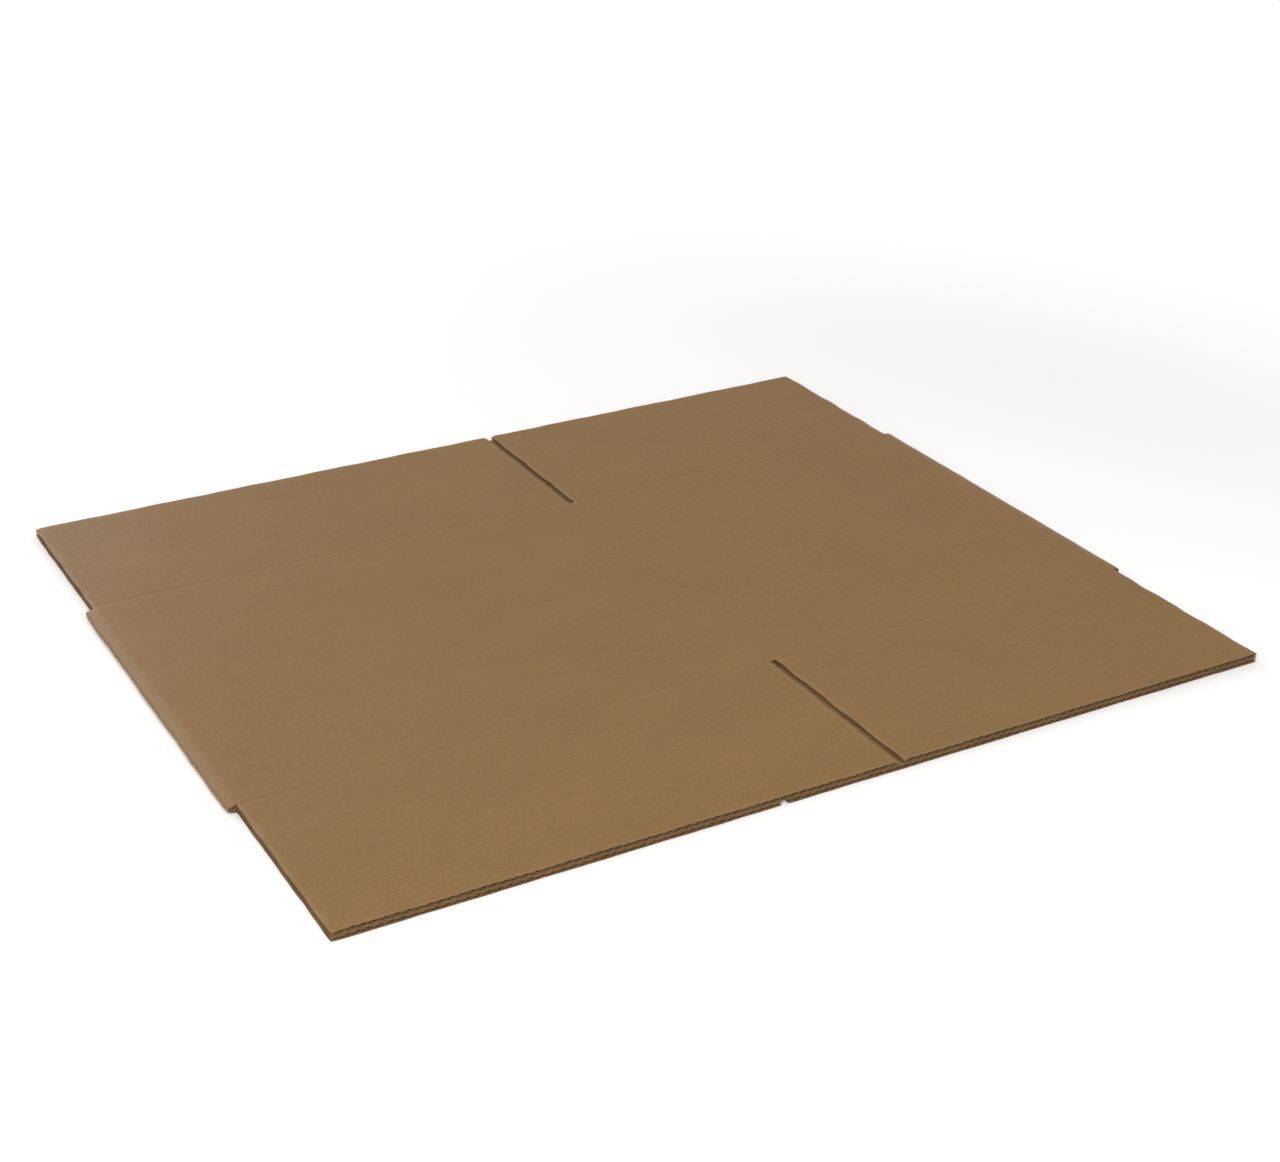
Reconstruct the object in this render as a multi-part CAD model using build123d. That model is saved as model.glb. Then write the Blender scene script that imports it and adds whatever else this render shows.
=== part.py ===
from build123d import *
import math
import os

# A slotted box of single-wall corrugated board, glued at its side joint and folded flat. It lies on
# its long panel with its two layers one above the other. X runs across the folded width, Y along the
# flutes and the wall height, and Z is up. The origin is the middle of the underside. All sizes are
# in millimetres.

# Panels, from score to score
long_panel = 450.0
short_panel = 350.0
wall_height = 350.0

# Board
board = 4.0
liner = 0.4
flute_wall = 0.35
flute_pitch = 7.9
layer_gap = 0.4

# Slots that part one flap from the next
slot_width = 6.0
slot_past_score = 2.0

# Scores, where the board is crushed so that it bends
flap_score_width = 8.0
flap_score_outside = 0.5
flap_score_inside = 1.3
panel_score_width = 5.0
panel_score_depth = 0.6

# Side folds, where each layer rounds over a wide shoulder to a nose that stands past the score
fold_crown = 5.0
fold_shoulder = 12.0
fold_nose_radius = 2.5
fold_web = 3.0

# Glued side joint of the lower layer, a half lap of crushed board
tab_width = 30.0
tab_taper = 12.0
tab_end_gap = 3.0
lap_depth = 2.0
joint_gap = 1.5
lap_slit = 0.5

# What follows from these sizes
flap_length = short_panel / 2
half_width = (long_panel + short_panel) / 2
half_wall = wall_height / 2
flap_end = half_wall + flap_length
upper_base = board + layer_gap
total_height = upper_base + board
upper_divide = long_panel - half_width
lower_divide = short_panel - half_width
half_slot = slot_width / 2
half_score = flap_score_width / 2
fold_reach = half_wall - slot_past_score

# Where each flap begins and ends across the width, layer by layer
flap_left = half_slot - half_width
flap_right = half_width - half_slot
upper_flaps = {
    "long_flap": (flap_left, upper_divide - half_slot),
    "short_flap": (upper_divide + half_slot, flap_right),
}
lower_flaps = {
    "short_flap": (flap_left, lower_divide - half_slot),
    "long_flap": (lower_divide + half_slot, flap_right),
}


def prism_along_x(points, x_start, x_end):
    """A solid with an outline of (y, z) points, running from x_start to x_end."""
    outline = Face(Wire.make_polygon([Vector(x_start, y, z) for y, z in points], close=True))
    return extrude(outline, amount=x_end - x_start, dir=(1, 0, 0))


def prism_along_y(points, y_start, y_end):
    """A solid with an outline of (x, z) points, running from y_start to y_end."""
    outline = Face(Wire.make_polygon([Vector(x, y_start, z) for x, z in points], close=True))
    return extrude(outline, amount=y_end - y_start, dir=(0, 1, 0))


def prism_along_z(points, z_start, z_end):
    """A solid with an outline of (x, y) points, running from z_start to z_end."""
    outline = Face(Wire.make_polygon([Vector(x, y, z_start) for x, y in points], close=True))
    return extrude(outline, amount=z_end - z_start, dir=(0, 0, 1))


def flute_channels(x_start, x_end, base):
    """The open channels between the liners and the zigzag of the fluting, from score to cut edge."""
    rise = board - 2 * liner
    half_pitch = flute_pitch / 2
    slope = math.atan2(rise, half_pitch)
    half_leg = flute_wall / 2 / math.sin(slope)
    half_base = half_pitch - half_leg
    apex = half_base * math.tan(slope)
    edge_margin = 2 * flute_wall
    count = int((x_end - x_start - 2 * edge_margin) / flute_pitch)
    first = (x_start + x_end - count * flute_pitch) / 2
    floor_z = base + liner
    ceiling_z = base + board - liner
    channels = []
    for index in range(count):
        x = first + (index + 0.5) * flute_pitch
        upright = [(x - half_base, floor_z), (x + half_base, floor_z), (x, floor_z + apex)]
        channels.append(prism_along_y(upright, half_wall + half_score, flap_end))
        if index > 0:
            x = x - half_pitch
            hanging = [(x - half_base, ceiling_z), (x + half_base, ceiling_z), (x, ceiling_z - apex)]
            channels.append(prism_along_y(hanging, half_wall + half_score, flap_end))
    return channels


def make_flap(x_start, x_end, base, outside_up):
    """One flap at the back, from its score to its cut edge, with half of the crushed score."""
    bottom = base
    top = base + board
    top_crush = flap_score_outside if outside_up else flap_score_inside
    bottom_crush = flap_score_inside if outside_up else flap_score_outside
    side_view = [
        (half_wall, bottom + bottom_crush),
        (half_wall + half_score, bottom),
        (flap_end, bottom),
        (flap_end, top),
        (half_wall + half_score, top),
        (half_wall, top - top_crush),
    ]
    return prism_along_x(side_view, x_start, x_end) - flute_channels(x_start, x_end, base)


def score_wedge(face_z, depth):
    """The wall's half of a crushed flap score at the back, cut from a face towards a depth."""
    reach = half_width + fold_crown
    outline = [(half_wall - half_score, face_z), (half_wall, face_z), (half_wall, face_z + depth)]
    return prism_along_x(outline, -reach, reach)


def fold_profile():
    """The outline of the folded tube seen along Y: shoulder arcs above and below, and a nose at each side."""
    middle = total_height / 2
    fold_start = half_width + fold_crown - fold_shoulder
    nose = fold_shoulder - fold_nose_radius
    shoulder_radius = (nose**2 + middle**2 - fold_nose_radius**2) / (2 * (middle - fold_nose_radius))
    shoulder_turn = math.degrees(math.atan2(nose, shoulder_radius - middle))
    upper_shoulder = CenterArc(
        (fold_start, middle - shoulder_radius), shoulder_radius, 90 - shoulder_turn, shoulder_turn
    )
    lower_shoulder = mirror(upper_shoulder, about=Plane.XZ)
    nose_turn = 90 - shoulder_turn
    nose_arc = CenterArc((fold_start + nose, 0), fold_nose_radius, -nose_turn, 2 * nose_turn)
    right_side = [upper_shoulder, nose_arc, lower_shoulder]
    left_side = [mirror(edge, about=Plane.YZ) for edge in right_side]
    top = Line((-fold_start, middle), (fold_start, middle))
    bottom = Line((-fold_start, -middle), (fold_start, -middle))
    return make_face(right_side + left_side + [top, bottom])


def make_walls():
    """Both layers of wall panels with their two side folds, as a flat tube."""
    inside = Rectangle(2 * (half_width + fold_crown - fold_web), layer_gap)
    section = Plane.XZ * (Pos(0, total_height / 2) * (fold_profile() - inside))
    walls = extrude(section, amount=fold_reach, both=True)
    for base, flaps in ((0, lower_flaps), (upper_base, upper_flaps)):
        for x_start, x_end in flaps.values():
            strip = prism_along_x(
                [(fold_reach, base), (half_wall, base), (half_wall, base + board), (fold_reach, base + board)],
                x_start,
                x_end,
            )
            walls += [strip, mirror(strip, about=Plane.XZ)]
    wedges = [
        score_wedge(0, flap_score_outside),
        score_wedge(board, -flap_score_inside),
        score_wedge(upper_base, flap_score_inside),
        score_wedge(total_height, -flap_score_outside),
    ]
    walls -= wedges + [mirror(wedge, about=Plane.XZ) for wedge in wedges]
    return walls - make_panel_score()


def make_panel_score():
    """The groove of the score between the two panels of the upper layer."""
    half = panel_score_width / 2
    outline = [
        (upper_divide - half, total_height),
        (upper_divide + half, total_height),
        (upper_divide, total_height - panel_score_depth),
    ]
    return prism_along_y(outline, -half_wall, half_wall)


def tab_outline(grow):
    """The tapered glue tab seen from above, grown by a clearance at its long edge and its ends."""
    root = lower_divide + joint_gap / 2
    tip = lower_divide - tab_width - grow
    root_reach = fold_reach - tab_end_gap + grow
    tip_reach = root_reach - tab_taper
    return [(root, -root_reach), (tip, -tip_reach), (tip, tip_reach), (root, root_reach)]


def cut_side_joint(walls):
    """Open the seam of the glued joint below, and the outline of the tab inside."""
    seam = Pos(lower_divide, 0, lap_depth / 2) * Box(joint_gap, wall_height, lap_depth)
    around_tab = prism_along_z(tab_outline(lap_slit), lap_depth, board)
    tab = prism_along_z(tab_outline(0), lap_depth, board)
    return walls - seam - (around_tab - tab)


def make_folded_body():
    """The walls with the four flaps of the lower layer, all one sheet."""
    body = cut_side_joint(make_walls())
    for x_start, x_end in lower_flaps.values():
        flap = make_flap(x_start, x_end, 0, outside_up=False)
        body += [flap, mirror(flap, about=Plane.XZ)]
    return body


def write_node(name, shape):
    """Write one solid to its own file."""
    solid = shape.solids()[0]
    solid.label = name
    export_step(solid, os.path.join("parts", name + ".step"))


os.makedirs("parts", exist_ok=True)
write_node("folded_body", make_folded_body())
for flap_name, (flap_x_start, flap_x_end) in upper_flaps.items():
    back_flap = make_flap(flap_x_start, flap_x_end, upper_base, outside_up=True)
    write_node(flap_name + "_back", back_flap)
    write_node(flap_name + "_front", mirror(back_flap, about=Plane.XZ))
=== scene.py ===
import math

import bpy
import numpy as np
from mathutils import Matrix, Vector


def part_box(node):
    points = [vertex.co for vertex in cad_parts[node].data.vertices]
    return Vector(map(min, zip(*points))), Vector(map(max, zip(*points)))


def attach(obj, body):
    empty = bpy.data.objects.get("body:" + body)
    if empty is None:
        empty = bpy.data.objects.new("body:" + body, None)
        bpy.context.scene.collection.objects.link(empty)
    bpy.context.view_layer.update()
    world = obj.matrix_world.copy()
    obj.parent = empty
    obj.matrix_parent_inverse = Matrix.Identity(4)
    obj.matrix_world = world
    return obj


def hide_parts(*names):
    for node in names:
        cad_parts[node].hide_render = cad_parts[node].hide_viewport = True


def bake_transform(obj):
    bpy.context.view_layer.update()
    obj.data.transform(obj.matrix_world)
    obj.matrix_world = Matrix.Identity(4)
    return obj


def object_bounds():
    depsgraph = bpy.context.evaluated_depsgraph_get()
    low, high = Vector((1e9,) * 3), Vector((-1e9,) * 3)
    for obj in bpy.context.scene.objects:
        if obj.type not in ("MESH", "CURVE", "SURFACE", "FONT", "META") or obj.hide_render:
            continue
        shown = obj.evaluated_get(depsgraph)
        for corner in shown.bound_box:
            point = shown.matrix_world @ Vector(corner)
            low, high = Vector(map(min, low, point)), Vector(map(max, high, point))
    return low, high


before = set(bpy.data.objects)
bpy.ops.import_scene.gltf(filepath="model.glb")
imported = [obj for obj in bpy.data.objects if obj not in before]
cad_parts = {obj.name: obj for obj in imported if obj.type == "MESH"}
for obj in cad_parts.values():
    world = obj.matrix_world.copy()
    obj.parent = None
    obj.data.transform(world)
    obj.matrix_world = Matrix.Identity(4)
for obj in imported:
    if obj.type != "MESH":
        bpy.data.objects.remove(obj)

# A slotted box of corrugated board, folded flat. Each board is made of the three papers that it has:
# an outer liner, the fluting and an inner liner. All lengths are in metres.

MM = 0.001

# Sizes from the frame
cad_low, cad_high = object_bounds()
long_low, long_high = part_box("long_flap_front")
short_low, short_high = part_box("short_flap_front")
total_height = cad_high.z
middle = total_height / 2
board = long_high.z - long_low.z
upper_base = long_low.z
half_gap = upper_base / 2 - board / 2
half_wall = -long_high.y
flap_end = -long_low.y
flap_side = short_high.x
half_slot = (short_low.x - long_high.x) / 2
upper_divide = (short_low.x + long_high.x) / 2
fold_crown = cad_high.x

# Papers
liner = 0.4 * MM
flute_wall = 0.35 * MM
flute_pitch = 7.9 * MM
steps_per_flute = 12
flute_flattening = 0.05
fold_flattening = 0.4
loose_flute_reach = 4 * MM

# Scores and slots
score_reach = 4 * MM
score_outside = 0.35 * MM
score_inside = 1.3 * MM
slot_start = half_wall - 2 * MM
panel_score = 0.5 * MM
wall_end = half_wall - score_reach

# Side folds
fold_shoulder = 12 * MM
fold_nose_radius = 2.5 * MM
fold_web = 3 * MM
fold_start = fold_crown - fold_shoulder
nose_inset = fold_shoulder - fold_nose_radius
shoulder_radius = (nose_inset**2 + middle**2 - fold_nose_radius**2) / (2 * (middle - fold_nose_radius))
shoulder_turn = math.atan2(nose_inset, shoulder_radius - middle)

# Glued side joint of the lower layer: a tab of crushed board on the short panel's crushed edge
joint_x = -upper_divide
half_seam = 0.75 * MM
tab_root = joint_x + half_seam
tab_tip = joint_x - 30 * MM
tab_taper = 12 * MM
tab_end_gap = 3 * MM
tab_slit = 0.5 * MM
lap_depth = 2 * MM
lap_gap = 0.05 * MM
lap_ramp = 4 * MM

# Crushed edges
slot_crush = 0.8 * MM
slot_crush_reach = 4 * MM
edge_crush = 0.28 * MM
edge_crush_reach = 1.8 * MM
waver_depth = 0.2 * MM
waver_reach = 5 * MM
uneven_rise = 8 * MM

# Damage to the side folds: dents as (side, place along Y, depth, length), and crumples at the ends
fold_dents = [
    (-1, -121 * MM, 0.35 * MM, 13 * MM),
    (-1, 38 * MM, 0.3 * MM, 24 * MM),
    (-1, 109 * MM, 0.3 * MM, 11 * MM),
    (1, -86 * MM, 0.3 * MM, 19 * MM),
    (1, 64 * MM, 0.35 * MM, 14 * MM),
]
crumple_depth = 0.3 * MM
crumple_reach = 35 * MM
crumple_pitch = 15 * MM

# How uneven the faces are: waves as (strength, length along X, length along Y, phase)
ripple_depth = 0.12 * MM
ripple_fade = 15 * MM
ripple_waves = [
    (1.0, 210 * MM, 370 * MM, 0.7),
    (1.0, 340 * MM, -160 * MM, 2.1),
    (0.6, 89 * MM, 600 * MM, 4.0),
]

# How worn the paper is, from 0 to 1, and how far from an edge or a score; round the side folds it is
# partly wear and partly a painted highlight
cut_wear = 0.5
cut_wear_reach = 2.5 * MM
slot_wear = 0.4
score_wear = 0.1
score_wear_reach = 1.6 * MM
# Side folds: partly wear, partly a painted highlight that lightens the fold band
fold_wear_and_highlight = 0.5
fold_wear_and_highlight_inset = 2 * MM

# Pattern of the papers: how large the blobs of each kind are along X, Y and Z
cloud_size = (90 * MM, 60 * MM, 90 * MM)
streak_size = (9 * MM, 4.5 * MM, 6 * MM)
fibre_size = (1.7 * MM, 0.6 * MM, 0.8 * MM)
speck_size = (1.1 * MM, 0.9 * MM, 0.9 * MM)
hue_size = (150 * MM, 110 * MM, 150 * MM)
rub_and_highlight_size = (1.4 * MM, 13 * MM, 1.4 * MM)

# How high the fluting, the fibres and the streaks show as bump
ridge_height = 0.04 * MM
fibre_height = 0.03 * MM
streak_height = 0.05 * MM

# How fine the meshes are
flap_step = 6 * MM
fine_score_step = 0.5 * MM
coarse_score_step = 2 * MM
wall_row_step = 4.5 * MM
wall_column_step = 18 * MM
flute_row_step = 150 * MM
tab_root_step = 0.4 * MM
sharp_edge = math.radians(35)


def smooth_fall(distance, reach):
    """1 at no distance, falling smoothly to 0 at the reach."""
    return 0.5 + 0.5 * np.cos(np.pi * np.clip(np.abs(distance) / reach, 0, 1))


def waves(place, *parts):
    """Sine waves added up at a place along them. Each part is a strength, a length and a phase."""
    total = 0
    for strength, length, phase in parts:
        total = total + strength * np.sin(2 * np.pi * place / length + phase)
    return total


def levels(stops, step):
    """Rising numbers through all the stops, with no gap between neighbours wider than the step."""
    tolerance = 0.001
    found = []
    for low, high in zip(stops, stops[1:]):
        count = max(1, math.ceil((high - low) / step - tolerance))
        found.extend(low + (high - low) * index / count for index in range(count))
    return np.array(found + [stops[-1]])


def ripple(x, y):
    """How far the outer faces lie below their highest level, because the board is slightly uneven."""
    height = 0
    most = 0
    for strength, length_x, length_y, phase in ripple_waves:
        height = height + strength * np.sin(2 * np.pi * (x / length_x + y / length_y) + phase)
        most += strength
    beside_fold = np.clip((fold_start - np.abs(x)) / ripple_fade, 0, 1)
    return ripple_depth * (0.5 + height / (2 * most)) * beside_fold


def slot_fall(beside, y):
    """1 at the cut edge of a slot, falling to 0 with the distance beside it and before its end."""
    before = np.maximum(slot_start - np.abs(y), 0)
    return smooth_fall(np.hypot(beside, before), slot_crush_reach)


def beside_cut(x, divide):
    """How far a point lies from the nearest slotted edge of its flap."""
    beside_slot = np.maximum(np.abs(x - divide) - half_slot, 0)
    beside_side = np.maximum(flap_side - np.abs(x), 0)
    return np.minimum(beside_slot, beside_side)


def past_slot_end(y):
    """0 up to the ends of the slots, rising smoothly to 1 along the flaps."""
    return 1 - smooth_fall(np.maximum(np.abs(y) - slot_start, 0), uneven_rise)


def slot_unevenness(x, y):
    """How hard a slotted edge is crushed at a place along it: about 1, and just 1 at the slot's end."""
    phase = 40 * x + 1.3 * np.sign(y)
    return 1 + waves(y, (0.3, 53 * MM, phase), (0.18, 29 * MM, 2 * phase)) * past_slot_end(y)


def edge_unevenness(x):
    """How hard the cut edge of a flap is crushed at a place along it, about 1."""
    lightest = 0.15
    return np.maximum(1 + waves(x, (0.6, 83 * MM, 1.0), (0.4, 31 * MM, 0.0)), lightest)


def cut_waver(x, y, cuts):
    """How far a flap's slotted edges wander sideways from their straight lines."""
    shift = np.zeros_like(x)
    for cut in cuts:
        phase = 40 * cut + 2.0 * np.sign(y)
        wander = waves(y, (waver_depth, 61 * MM, phase), (0.6 * waver_depth, 27 * MM, 3 * phase))
        shift += wander * smooth_fall(x - cut, waver_reach)
    return shift * past_slot_end(y)


def tab_reach(x):
    """Half the length of the glue tab at a place across it."""
    return slot_start - tab_end_gap - tab_taper * np.clip((tab_root - x) / (tab_root - tab_tip), 0, 1)


class Board:
    """One layer of the folded box: where its outside and its inside lie, and where its panels meet."""

    def __init__(self, outside_z, inside_z, divide, panel_score_depth):
        self.outside_z = outside_z
        self.inside_z = inside_z
        self.inward = math.copysign(1, inside_z - outside_z)
        self.divide = divide
        self.panel_score_depth = panel_score_depth

    def crush(self, x, y):
        """How far each face is pressed in along the slots, the sides and the cut edges of the flaps."""
        slot = slot_crush * slot_fall(beside_cut(x, self.divide), y) * slot_unevenness(x, y)
        edge = edge_crush * edge_unevenness(x) * smooth_fall(flap_end - np.abs(y), edge_crush_reach)
        return np.hypot(slot, edge)

    def outside(self, x, y):
        """Height of the outer face."""
        past_fold_start = np.clip(np.abs(x) - fold_start, 0, fold_shoulder)
        shoulder = shoulder_radius - np.sqrt(shoulder_radius**2 - past_fold_start**2)
        score = score_outside * smooth_fall(np.abs(y) - half_wall, score_reach)
        groove = self.panel_score_depth * smooth_fall(x - self.divide, half_slot)
        dip = np.hypot(self.crush(x, y), score) + ripple(x, y) + shoulder + groove
        return self.outside_z + self.inward * dip

    def inside(self, x, y):
        """Height of the inner face."""
        score = score_inside * smooth_fall(np.abs(y) - half_wall, score_reach)
        return self.inside_z - self.inward * np.hypot(self.crush(x, y), score)

    def grids(self, xs, ys, cuts=()):
        """The outer and the inner face as two grids of points."""
        x, y = np.meshgrid(xs, ys, indexing="ij")
        cut_x = x + cut_waver(x, y, cuts)
        return np.dstack([cut_x, y, self.outside(x, y)]), np.dstack([cut_x, y, self.inside(x, y)])


upper_board = Board(total_height, upper_base, upper_divide, panel_score)
lower_board = Board(0, board, joint_x, 0)


def fold_wave(y, side):
    """How far the nose of a side fold stands back, as a share of its reach past the flaps."""
    mean = 0.065
    phase = 1.9 * side
    slow = waves(y, (0.028, 131 * MM, phase), (0.0196, 57 * MM, 2.3 * phase))
    quick = waves(y, (0.011, 23.4 * MM, 0.4 + phase))
    return mean + slow + quick


def fold_turns(shoulder_step, nose_step):
    """Angles round a fold, from the top face (0) to the bottom face (pi), with one at the flaps' side.

    shoulder_step is a length and nose_step is in degrees.
    """
    at_flap_side = math.asin((flap_side - fold_start) / shoulder_radius)
    shoulder = levels([0, at_flap_side, shoulder_turn], shoulder_step / shoulder_radius)
    nose = levels([shoulder_turn, math.pi / 2], math.radians(nose_step))
    upper = list(shoulder) + list(nose[1:])
    return np.array(upper + [math.pi - turn for turn in reversed(upper[:-1])])


def fold_dips(y, turn, side):
    """How far a fold is dented and crumpled at each point."""
    near_end = smooth_fall(slot_start - np.abs(y), crumple_reach)
    dip = crumple_depth * near_end * (0.5 + waves(y, (0.5, crumple_pitch, 1.5 * side)))
    for dent_side, place, depth, length in fold_dents:
        if dent_side == side:
            dip = dip + depth * smooth_fall(y - place, length)
    return dip * np.sin(turn) ** 2


def fold_grids(turns, ys, side):
    """The outer and the inner face of a side fold as two grids of points."""
    turn, y = np.meshgrid(turns, ys, indexing="ij")
    reflex = np.minimum(turn, np.pi - turn)
    on_nose = reflex > shoulder_turn
    upright = np.sign(np.cos(turn))
    nose_out = nose_inset + fold_nose_radius * np.sin(turn)
    shoulder_out = shoulder_radius * np.sin(turn)
    shoulder_height = upright * (middle - shoulder_radius + shoulder_radius * np.cos(reflex))
    out = np.where(on_nose, nose_out, shoulder_out)
    height = np.where(on_nose, fold_nose_radius * np.cos(turn), shoulder_height)
    past_flap = np.clip(fold_start + out - flap_side, 0, None)
    squeezed = past_flap * (1 - fold_wave(y, side))
    beside_flap = np.minimum(fold_start + out, flap_side)
    outer_x = beside_flap + squeezed
    nose_share = past_flap / (fold_crown - flap_side)
    curve = 0.5 * np.pi * nose_share
    inner_x = beside_flap + (fold_crown - fold_web - flap_side) * np.sin(curve)
    inner_z = middle + half_gap * upright * np.cos(curve)
    outer = np.dstack([side * outer_x, y, middle + height])
    inner = np.dstack([side * inner_x, y, inner_z])
    beside = np.maximum(flap_side - fold_start - out, 0)
    pinch = slot_crush * (1 - 0.5 * nose_share) * slot_fall(beside, y)
    pressed_outer = at_depth(outer, inner, (pinch + fold_dips(y, turn, side))[:, :, None])
    pressed_inner = at_depth(inner, outer, pinch[:, :, None])
    return pressed_outer, pressed_inner


def lapped_edge_grids(xs, ys):
    """The lower short panel, whose edge is crushed from inside where the tab lies on it."""
    outer, inner = lower_board.grids(xs, ys)
    x, y = outer[:, :, 0], outer[:, :, 1]
    past_tip = np.maximum(tab_tip - tab_slit - x, 0)
    past_end = np.maximum(np.abs(y) - tab_reach(x) - tab_slit, 0)
    under_tab = smooth_fall(np.hypot(past_tip, past_end), lap_ramp)
    inner[:, :, 2] -= under_tab * (board + lap_gap - lap_depth)
    return outer, inner


def tabbed_grids(xs, ys):
    """The lower long panel and its tab, which is crushed from outside and shorter than the wall."""
    outer, inner = lower_board.grids(xs, ys)
    x = outer[:, :, 0]
    at_root = np.clip((joint_x + half_slot - x) / (joint_x + half_slot - tab_root), 0, 1)
    outer[:, :, 2] += smooth_fall(1 - at_root, 1) * lap_depth
    shortened = 1 - at_root * (1 - tab_reach(x) / slot_start)
    for grid in (outer, inner):
        grid[:, :, 1] *= shortened
    return outer, inner


def blank_grids(columns, turns, ys):
    """The outer and the inner face of the whole blank, from the short panel's edge to the tab's tip."""
    short_columns, upper_columns, long_columns = columns
    stretches = [
        lapped_edge_grids(short_columns, ys),
        fold_grids(turns[-2:0:-1], ys, -1),
        upper_board.grids(upper_columns, ys),
        fold_grids(turns[1:-1], ys, 1),
        tabbed_grids(long_columns, ys),
    ]
    return [np.concatenate([stretch[face] for stretch in stretches]) for face in (0, 1)]


def beyond_flaps(outer, long_count):
    """Which strips of the blank run on to the slots' ends: at the slots, in the folds, in the tab."""
    x = (outer[:-1, 0, 0] + outer[1:, 0, 0]) / 2
    on_top = outer[:-1, 0, 2] + outer[1:, 0, 2] > total_height
    in_long_panel = np.arange(len(x)) > len(x) - long_count
    at_slot = np.abs(x - np.where(on_top, upper_divide, joint_x)) < half_slot
    return (np.abs(x) > flap_side) | at_slot | (in_long_panel & (x < joint_x))


def at_depth(outer, inner, depth):
    """Points between the two faces of a board, at a depth under the outer one."""
    return outer + (inner - outer) * (depth / board_thickness(outer, inner))


def board_thickness(outer, inner):
    """How far the two faces of a board are apart."""
    return np.linalg.norm(inner - outer, axis=2, keepdims=True)


def outer_liner(outer, inner):
    """The two sides of the outer liner."""
    return outer, at_depth(outer, inner, liner)


def inner_liner(outer, inner):
    """The two sides of the inner liner."""
    return at_depth(outer, inner, board_thickness(outer, inner) - liner), inner


def fluting(outer, inner):
    """The two sides of the fluting: a wave that touches both liners and is flatter in the folds."""
    thickness = board_thickness(outer, inner)
    x = outer[:, :, :1]
    y = outer[:, :, 1:2]
    near_edge = smooth_fall(flap_end - np.abs(y), loose_flute_reach)
    drift = waves(x, (0.4, 137 * MM, 1.3), (0.3, 61.3 * MM, 0.4))
    lean = waves(x, (0.35, 23.7 * MM, 0.0)) * near_edge
    flattened = flute_flattening * (1 + near_edge) * (1 + waves(x, (1.0, 45.1 * MM, 0.0)))
    in_fold = np.clip((np.abs(x) - flap_side) / (fold_crown - fold_web - flap_side), 0, 1)
    height = 1 - flattened - fold_flattening * in_fold
    wave = height * np.sin(2 * np.pi * x / flute_pitch + drift + lean)
    amplitude = np.maximum(thickness - 2 * liner - flute_wall, 0) / 2
    centre = at_depth(outer, inner, thickness / 2 - amplitude * wave)
    along = np.gradient(centre, axis=0)
    normal = np.dstack([-along[:, :, 2], np.zeros(along.shape[:2]), along[:, :, 0]])
    normal = normal / np.linalg.norm(normal, axis=2, keepdims=True)
    return centre + normal * flute_wall / 2, centre - normal * flute_wall / 2


def sheet(side_a, side_b, paper_tags, filled=None):
    """A closed sheet between two grids of points. The tags give the paper of its sides and its edge."""
    rows, columns = side_a.shape[:2]
    if filled is None:
        filled = np.ones((rows - 1, columns - 1), bool)
    number = np.arange(rows * columns).reshape(rows, columns)
    low, left, far, right = number[:-1, :-1], number[1:, :-1], number[1:, 1:], number[:-1, 1:]
    below = rows * columns
    quads = [np.stack([low, left, far, right], axis=2)[filled]]
    quads.append(np.stack([right, far, left, low], axis=2)[filled] + below)
    tags = [np.full(len(quads[0]), paper_tags[0]), np.full(len(quads[1]), paper_tags[1])]
    framed = np.pad(filled, 1)
    neighbours = [framed[:-2, 1:-1], framed[1:-1, 2:], framed[2:, 1:-1], framed[1:-1, :-2]]
    edges = [(right, low), (far, right), (left, far), (low, left)]
    for neighbour, (start, end) in zip(neighbours, edges):
        open_edge = filled & ~neighbour
        border = np.stack([end, start, start + below, end + below], axis=2)[open_edge]
        quads.append(border)
        tags.append(np.full(len(border), paper_tags[2]))
    points = np.concatenate([side_a.reshape(-1, 3), side_b.reshape(-1, 3)])
    quads = np.concatenate(quads)
    used, numbers = np.unique(quads, return_inverse=True)
    return points[used], numbers.reshape(-1, 4), np.concatenate(tags)


def is_inside_out(points, quads):
    """Whether a closed mesh has its faces turned inwards, from the sign of its volume."""
    a, b, c, d = (points[quads[:, corner]] for corner in range(4))
    volume = np.sum(a * np.cross(b, c)) + np.sum(a * np.cross(c, d))
    return volume < 0


def make_piece(name, sheets, materials):
    """One mesh object from closed sheets of paper."""
    all_points = []
    all_quads = []
    all_tags = []
    count = 0
    for points, quads, tags in sheets:
        if is_inside_out(points, quads):
            quads = quads[:, ::-1]
        all_points.append(points)
        all_quads.append(quads + count)
        all_tags.append(tags)
        count += len(points)
    mesh = bpy.data.meshes.new(name)
    mesh.from_pydata(np.concatenate(all_points).tolist(), [], np.concatenate(all_quads).tolist())
    for material in materials:
        mesh.materials.append(material)
    mesh.polygons.foreach_set("material_index", np.concatenate(all_tags))
    mesh.polygons.foreach_set("use_smooth", np.ones(len(mesh.polygons), bool))
    mesh.set_sharp_from_angle(angle=sharp_edge)
    mesh.update()
    piece = bpy.data.objects.new(name, mesh)
    bpy.context.scene.collection.objects.link(piece)
    return piece


def new_node(tree, kind, **values):
    """A shader node, with the values of its named inputs."""
    node = tree.nodes.new(kind)
    for key, value in values.items():
        node.inputs[key].default_value = value
    return node


def join_nodes(tree, source, target):
    """Link an output to an input."""
    tree.links.new(source, target)


def arithmetic(tree, operation, first, second):
    """A maths node. Either input is a socket or a number."""
    node = tree.nodes.new("ShaderNodeMath")
    node.operation = operation
    for socket, value in zip(node.inputs, (first, second)):
        if isinstance(value, (int, float)):
            socket.default_value = value
        else:
            join_nodes(tree, value, socket)
    return node.outputs[0]


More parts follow.
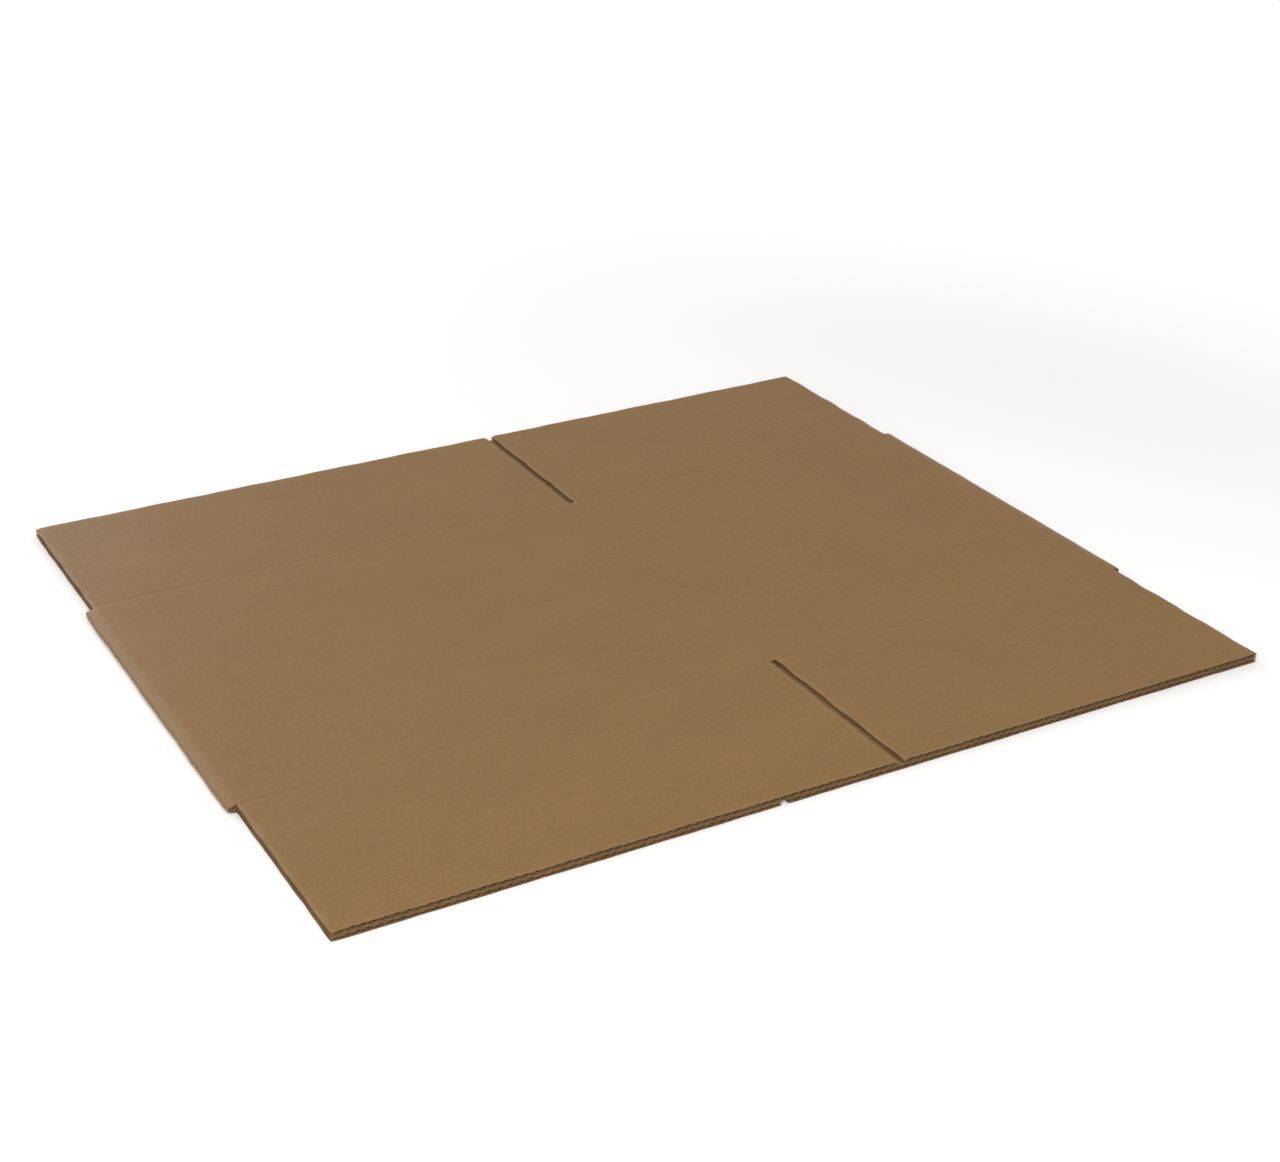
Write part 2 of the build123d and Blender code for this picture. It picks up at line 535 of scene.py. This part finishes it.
def grain(tree, place, size, detail, seed):
    """Noise from 0 to 1 whose blobs are about as large as the size along X, Y and Z."""
    spread = tree.nodes.new("ShaderNodeVectorMath")
    spread.operation = "DIVIDE"
    spread.inputs[1].default_value = size
    join_nodes(tree, place, spread.inputs[0])
    noise = tree.nodes.new("ShaderNodeTexNoise")
    noise.noise_dimensions = "4D"
    noise.inputs["W"].default_value = seed
    noise.inputs["Scale"].default_value = 1.0
    noise.inputs["Detail"].default_value = detail
    join_nodes(tree, spread.outputs[0], noise.inputs["Vector"])
    return noise.outputs[0]


def centred(tree, noise, strength):
    """Noise from 0 to 1, shifted to lie about 0 and scaled."""
    return arithmetic(tree, "MULTIPLY", arithmetic(tree, "SUBTRACT", noise, 0.5), strength)


def colour_from_srgb(red, green, blue):
    """A linear colour from the 0 to 255 values that a screen shows."""
    values = []
    for value in (red, green, blue):
        share = value / 255
        values.append(share / 12.92 if share <= 0.04045 else ((share + 0.055) / 1.055) ** 2.4)
    return (*values, 1.0)


def blend_colours(tree, factor, first, second):
    """A blend of two colours, each a socket or a colour."""
    node = tree.nodes.new("ShaderNodeMix")
    node.data_type = "RGBA"
    join_nodes(tree, factor, node.inputs[0])
    for socket, value in zip((node.inputs[6], node.inputs[7]), (first, second)):
        if isinstance(value, tuple):
            socket.default_value = value
        else:
            join_nodes(tree, value, socket)
    return node.outputs[2]


def mesh_attribute(tree, name):
    """A node that reads what a mesh stores for each of its points."""
    node = tree.nodes.new("ShaderNodeAttribute")
    node.attribute_name = name
    return node


def specks(tree, noise, edge, core, strength):
    """The strength where the noise reaches the core of a speck, fading to 0 at its edge."""
    node = tree.nodes.new("ShaderNodeMapRange")
    node.inputs["From Min"].default_value = edge
    node.inputs["From Max"].default_value = core
    node.inputs["To Max"].default_value = strength
    join_nodes(tree, noise, node.inputs["Value"])
    return node.outputs[0]


def paper_material(name, base, warm, contrast, roughness, washboard):
    """Unbleached paper: cloudy in tone, with fibres along X, fine specks and a matt uneven surface.

    base and warm are two tones of it, and washboard is how high the fluting shows through.
    """
    material = bpy.data.materials.new(name)
    material.use_nodes = True
    tree = material.node_tree
    shader = tree.nodes["Principled BSDF"]
    shader.inputs["Specular IOR Level"].default_value = 0.3
    place = mesh_attribute(tree, "rest_place").outputs["Vector"]

    cloud = grain(tree, place, cloud_size, detail=3.0, seed=1.0)
    streak = grain(tree, place, streak_size, detail=3.0, seed=2.0)
    fibre = grain(tree, place, fibre_size, detail=3.0, seed=3.0)
    speck = grain(tree, place, speck_size, detail=1.0, seed=4.0)

    dark_specks = specks(tree, speck, edge=0.66, core=0.76, strength=-0.28 * contrast)
    light_specks = specks(tree, speck, edge=0.34, core=0.26, strength=0.2 * contrast)
    tone = arithmetic(tree, "ADD", 1.0, centred(tree, cloud, 0.2 * contrast))
    tone = arithmetic(tree, "ADD", tone, centred(tree, streak, 0.26 * contrast))
    tone = arithmetic(tree, "ADD", tone, centred(tree, fibre, 0.85 * contrast))
    tone = arithmetic(tree, "ADD", tone, dark_specks)
    tone = arithmetic(tree, "ADD", tone, light_specks)

    hue_drift = grain(tree, place, hue_size, detail=2.0, seed=5.0)
    colour = blend_colours(tree, hue_drift, colour_from_srgb(*base), colour_from_srgb(*warm))
    # Lighter rubbed colour where the mesh marks wear; round the side folds it is partly a painted
    # highlight
    wear_and_highlight = mesh_attribute(tree, "wear_and_highlight")
    rub_and_highlight = grain(tree, place, rub_and_highlight_size, detail=2.0, seed=6.0)
    rubbed_and_highlit = arithmetic(tree, "MULTIPLY", wear_and_highlight.outputs["Fac"], arithmetic(tree, "ADD", rub_and_highlight, 0.3))
    colour = blend_colours(tree, rubbed_and_highlit, colour, colour_from_srgb(*rubbed_and_highlight_colour))
    toned = tree.nodes.new("ShaderNodeHueSaturation")
    join_nodes(tree, colour, toned.inputs["Color"])
    join_nodes(tree, tone, toned.inputs["Value"])
    join_nodes(tree, toned.outputs[0], shader.inputs["Base Color"])

    uneven_roughness = arithmetic(tree, "ADD", roughness, centred(tree, streak, 0.2))
    join_nodes(tree, uneven_roughness, shader.inputs["Roughness"])

    across = tree.nodes.new("ShaderNodeSeparateXYZ")
    join_nodes(tree, place, across.inputs[0])
    flute_phase = arithmetic(tree, "MULTIPLY", across.outputs[0], 2 * math.pi / flute_pitch)
    ridges = arithmetic(tree, "MULTIPLY", arithmetic(tree, "SINE", flute_phase, 0.0), washboard)
    height = arithmetic(tree, "ADD", ridges, centred(tree, fibre, fibre_height))
    height = arithmetic(tree, "ADD", height, centred(tree, streak, streak_height))
    bump = new_node(tree, "ShaderNodeBump", Strength=1.0, Distance=1.0)
    join_nodes(tree, height, bump.inputs["Height"])
    join_nodes(tree, bump.outputs[0], shader.inputs["Normal"])
    return material


# Colours are red, green and blue from 0 to 255
# Lighter rubbed paper, which round the side folds is also a painted highlight
rubbed_and_highlight_colour = (162, 133, 100)
papers = [
    paper_material("kraft_outside", (141, 108, 60), (147, 110, 65), 1.0, 0.6, ridge_height),
    paper_material("kraft_inside", (143, 111, 67), (149, 114, 72), 1.0, 0.75, ridge_height),
    paper_material("fluting_medium", (113, 87, 49), (120, 91, 55), 1.0, 0.85, 0.0),
    paper_material("cut_edge", (106, 78, 40), (113, 85, 48), 1.3, 0.9, 0.0),
]

# The papers of a sheet's two sides and its cut edge, as places in that list
outer_tags = (0, 1, 3)
flute_tags = (2, 2, 3)
inner_tags = (1, 1, 3)


def mark_points(piece):
    """Store each point's place at rest, which the paper's pattern follows, and how much lighter rubbed
    colour it gets there.

    The paper is worn along cut edges, beside slots and at the scores. Round the side folds the lighter
    colour is partly wear and partly a painted highlight.
    """
    mesh = piece.data
    points = np.zeros(len(mesh.vertices) * 3)
    mesh.vertices.foreach_get("co", points)
    mesh.attributes.new("rest_place", "FLOAT_VECTOR", "POINT").data.foreach_set("vector", points)
    x, y, z = points.reshape(-1, 3).T
    divide = np.where(z > middle, upper_divide, joint_x)
    cut = cut_wear * smooth_fall(flap_end - np.abs(y), cut_wear_reach)
    slot = slot_wear * slot_fall(beside_cut(x, divide), y) * slot_unevenness(x, y)
    score = score_wear * smooth_fall(np.abs(y) - half_wall, score_wear_reach)
    # Painted highlight, partly wear: lighter paper round the nose of each side fold
    beside_nose = np.maximum(fold_crown - fold_wear_and_highlight_inset - np.abs(x), 0)
    fold = fold_wear_and_highlight * smooth_fall(beside_nose, fold_shoulder) * (np.abs(y) < half_wall)
    worn_and_highlit = np.maximum.reduce([cut, slot, score, fold])
    mesh.attributes.new("wear_and_highlight", "FLOAT", "POINT").data.foreach_set("value", worn_and_highlit)


def board_sheets(liner_grids, flute_grids, liner_filled=None, flute_filled=None):
    """The three papers of a board."""
    return [
        sheet(*outer_liner(*liner_grids), outer_tags, liner_filled),
        sheet(*fluting(*flute_grids), flute_tags, flute_filled),
        sheet(*inner_liner(*liner_grids), inner_tags, liner_filled),
    ]


def crushed_stops(edge, sign):
    """Places from a cut edge to where the crushed board ends, on one side of it."""
    return [edge + sign * slot_crush_reach * share for share in (0, 0.12, 0.3, 0.55, 1)]


def make_flap(name, board_side, x_start, x_end, y_sign, fine_score):
    """One flap, from the near edge of its score to its cut edge."""
    score_step = fine_score_step if fine_score else coarse_score_step
    score_rows = levels([wall_end, half_wall + score_reach], score_step)
    edge_rows = [flap_end - edge_crush_reach * share for share in (1, 0.6, 0.3, 0.1, 0)]
    liner_rows = np.concatenate([score_rows[:-1], levels([score_rows[-1]] + edge_rows, flap_step)])
    flute_score = levels([wall_end, half_wall + score_reach], 2 * score_step)
    flute_edge = [flap_end - 5 * MM, flap_end - 2 * MM, flap_end]
    flute_rows = np.concatenate([flute_score, flute_edge])
    liner_columns = levels(sorted(crushed_stops(x_start, 1) + crushed_stops(x_end, -1)), flap_step)
    flute_columns = levels([x_start + flute_wall, x_end - flute_wall], flute_pitch / steps_per_flute)
    liner_grids = board_side.grids(liner_columns, y_sign * liner_rows, (x_start, x_end))
    flute_grids = board_side.grids(flute_columns, y_sign * flute_rows)
    piece = make_piece(name, board_sheets(liner_grids, flute_grids), papers)
    mark_points(piece)
    return piece


def panel_columns(step, with_stops):
    """Places across the blank's three flat stretches: short panel, upper layer, long panel and tab."""
    upper = [-fold_start, fold_start]
    short = [joint_x - half_seam, -fold_start]
    long = [fold_start, joint_x + half_slot, tab_root, tab_tip]
    if with_stops:
        upper += [upper_divide, upper_divide - half_slot / 2, upper_divide + half_slot / 2]
        upper += crushed_stops(upper_divide + half_slot, 1)
        upper += crushed_stops(upper_divide - half_slot, -1)
        past_tip = tab_tip - tab_slit
        short += [past_tip, past_tip - lap_ramp / 2, past_tip - lap_ramp]
        short += crushed_stops(joint_x - half_slot, -1)
        long += crushed_stops(joint_x + half_slot, 1)
        long += list(levels([tab_root, joint_x + half_slot], tab_root_step))
    else:
        upper += [upper_divide - half_slot, upper_divide + half_slot]
        short += [joint_x - half_slot]
    return [
        levels(sorted(set(short)), step)[::-1],
        levels(sorted(set(upper)), step),
        levels(sorted(set(long)), step)[::-1],
    ]


def make_walls():
    """Wall panels of both layers, side folds and glue tab, as one strip round the flat tube."""
    before_slot = slot_start - slot_crush_reach
    inner_stops = [-before_slot, before_slot]
    liner_rows = levels([-slot_start, -wall_end] + inner_stops + [wall_end, slot_start], wall_row_step)
    middle_rows = [-flute_row_step, 0, flute_row_step]
    flute_rows = np.array([-slot_start, -wall_end] + middle_rows + [wall_end, slot_start])
    liner_columns = panel_columns(wall_column_step, True)
    flute_columns = panel_columns(flute_pitch / steps_per_flute, False)
    liner_turns = fold_turns(shoulder_step=1.4 * MM, nose_step=10)
    flute_turns = fold_turns(shoulder_step=flute_pitch / steps_per_flute, nose_step=3)
    liner_grids = blank_grids(liner_columns, liner_turns, liner_rows)
    flute_grids = blank_grids(flute_columns, flute_turns, flute_rows)
    masks = []
    for (outer, _), columns, rows in (
        (liner_grids, liner_columns, liner_rows),
        (flute_grids, flute_columns, flute_rows),
    ):
        within_walls = np.abs(rows[:-1] + rows[1:]) / 2 < wall_end
        masks.append(within_walls[None, :] | beyond_flaps(outer, len(columns[2]))[:, None])
    piece = make_piece("walls", board_sheets(liner_grids, flute_grids, *masks), papers)
    mark_points(piece)
    return piece


# The walls, and the flaps of both layers. The upper flaps have finer rows at their scores.
walls = make_walls()
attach(walls, "walls")
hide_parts("folded_body")

upper_spans = {"long": (-flap_side, long_high.x), "short": (short_low.x, flap_side)}
lower_spans = {"short": (-flap_side, joint_x - half_slot), "long": (joint_x + half_slot, flap_side)}
ends = {"front": -1, "back": 1}

for end_name, y_sign in ends.items():
    for span_name, (x_start, x_end) in lower_spans.items():
        lower_name = f"lower_{span_name}_flap_{end_name}"
        lower_flap = make_flap(lower_name, lower_board, x_start, x_end, y_sign, fine_score=False)
        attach(lower_flap, "walls")
        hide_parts("folded_body")
    for span_name, (x_start, x_end) in upper_spans.items():
        upper_name = f"upper_{span_name}_flap_{end_name}"
        upper_flap = make_flap(upper_name, upper_board, x_start, x_end, y_sign, fine_score=True)
        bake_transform(upper_flap)
        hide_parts(f"{span_name}_flap_{end_name}")


# Floor, light and camera


def seen_directly(tree):
    """1 for rays from the camera and for what shows in gloss and glass, and 0 for light."""
    rays = tree.nodes.new("ShaderNodeLightPath").outputs
    direct = arithmetic(tree, "MAXIMUM", rays["Is Camera Ray"], rays["Is Glossy Ray"])
    return arithmetic(tree, "MAXIMUM", direct, rays["Is Transmission Ray"])


def mix_shaders(tree, factor, first, second):
    """A mix of two shaders by a socket that runs from 0 to 1."""
    node = tree.nodes.new("ShaderNodeMixShader")
    for socket, value in zip(node.inputs, (factor, first, second)):
        join_nodes(tree, value, socket)
    return node.outputs[0]


def make_floor():
    """A plain pale floor. It shows the shadow near the box and turns to the backdrop's white beyond."""
    half = 8.0
    clearance = 0.05 * MM
    shadow_radius = 0.6
    white_radius = 1.1
    mesh = bpy.data.meshes.new("floor")
    corners = [(-half, -half, 0), (half, -half, 0), (half, half, 0), (-half, half, 0)]
    mesh.from_pydata(corners, [], [(0, 1, 2, 3)])
    floor = bpy.data.objects.new("floor", mesh)
    floor.location.z = -clearance
    bpy.context.scene.collection.objects.link(floor)
    material = bpy.data.materials.new("floor")
    material.use_nodes = True
    tree = material.node_tree
    tree.nodes.clear()
    matt = new_node(tree, "ShaderNodeBsdfDiffuse", Color=(0.8, 0.8, 0.8, 1))
    pale = new_node(tree, "ShaderNodeBsdfDiffuse", Color=(1.4, 1.4, 1.4, 1))
    white = new_node(tree, "ShaderNodeEmission", Color=(1, 1, 1, 1), Strength=1.0)
    distance = tree.nodes.new("ShaderNodeVectorMath")
    distance.operation = "LENGTH"
    join_nodes(tree, tree.nodes.new("ShaderNodeTexCoord").outputs["Object"], distance.inputs[0])
    beyond = tree.nodes.new("ShaderNodeMapRange")
    beyond.interpolation_type = "SMOOTHSTEP"
    beyond.inputs["From Min"].default_value = shadow_radius
    beyond.inputs["From Max"].default_value = white_radius
    join_nodes(tree, distance.outputs["Value"], beyond.inputs["Value"])
    shown = mix_shaders(tree, beyond.outputs[0], pale.outputs[0], white.outputs[0])
    output = tree.nodes.new("ShaderNodeOutputMaterial")
    join_nodes(tree, mix_shaders(tree, seen_directly(tree), matt.outputs[0], shown), output.inputs[0])
    mesh.materials.append(material)


def make_world():
    """Even studio fill light, with a white backdrop."""
    world = bpy.data.worlds.new("studio")
    bpy.context.scene.world = world
    world.use_nodes = True
    tree = world.node_tree
    tree.nodes.clear()
    fill = new_node(tree, "ShaderNodeBackground", Color=(1.0, 0.985, 0.96, 1), Strength=0.42)
    backdrop = new_node(tree, "ShaderNodeBackground", Color=(1, 1, 1, 1), Strength=1.0)
    mixed = mix_shaders(tree, seen_directly(tree), fill.outputs[0], backdrop.outputs[0])
    output = tree.nodes.new("ShaderNodeOutputWorld")
    join_nodes(tree, mixed, output.inputs[0])


def add_softbox(name, place, size, power):
    """A square area light that faces the middle of the box."""
    light = bpy.data.lights.new(name, "AREA")
    light.shape = "SQUARE"
    light.size = size
    light.energy = power
    lamp = bpy.data.objects.new(name, light)
    lamp.location = place
    lamp.visible_camera = False
    lamp.rotation_euler = (-Vector(place)).to_track_quat("-Z", "Y").to_euler()
    bpy.context.scene.collection.objects.link(lamp)


def add_camera():
    """The camera stands where the photograph was taken from."""
    place = Vector((-0.7956, -1.4721, 0.8435))
    turn = math.radians(29.16)
    tilt = math.radians(26.355)
    roll = math.radians(0.249)
    focal_pixels = 2208.3
    picture_width = 1280
    sensor_width = 36.0
    ahead = Vector((math.sin(turn), math.cos(turn), 0))
    forward = math.cos(tilt) * ahead - Vector((0, 0, math.sin(tilt)))
    level_right = Vector((math.cos(turn), -math.sin(turn), 0))
    level_up = level_right.cross(forward)
    right = math.cos(roll) * level_right + math.sin(roll) * level_up
    up = math.cos(roll) * level_up - math.sin(roll) * level_right
    data = bpy.data.cameras.new("camera")
    data.sensor_fit = "HORIZONTAL"
    data.sensor_width = sensor_width
    data.lens = sensor_width * focal_pixels / picture_width
    camera = bpy.data.objects.new("camera", data)
    axes = Matrix((right, up, -forward)).transposed()
    camera.matrix_world = Matrix.Translation(place) @ axes.to_4x4()
    bpy.context.scene.collection.objects.link(camera)
    bpy.context.scene.camera = camera


make_floor()
make_world()
add_softbox("key", place=(-0.7, -1.7, 1.3), size=1.2, power=25)
add_softbox("back", place=(-0.5, 2.2, 0.8), size=1.0, power=14)
add_camera()
bpy.context.scene.view_settings.view_transform = "Standard"
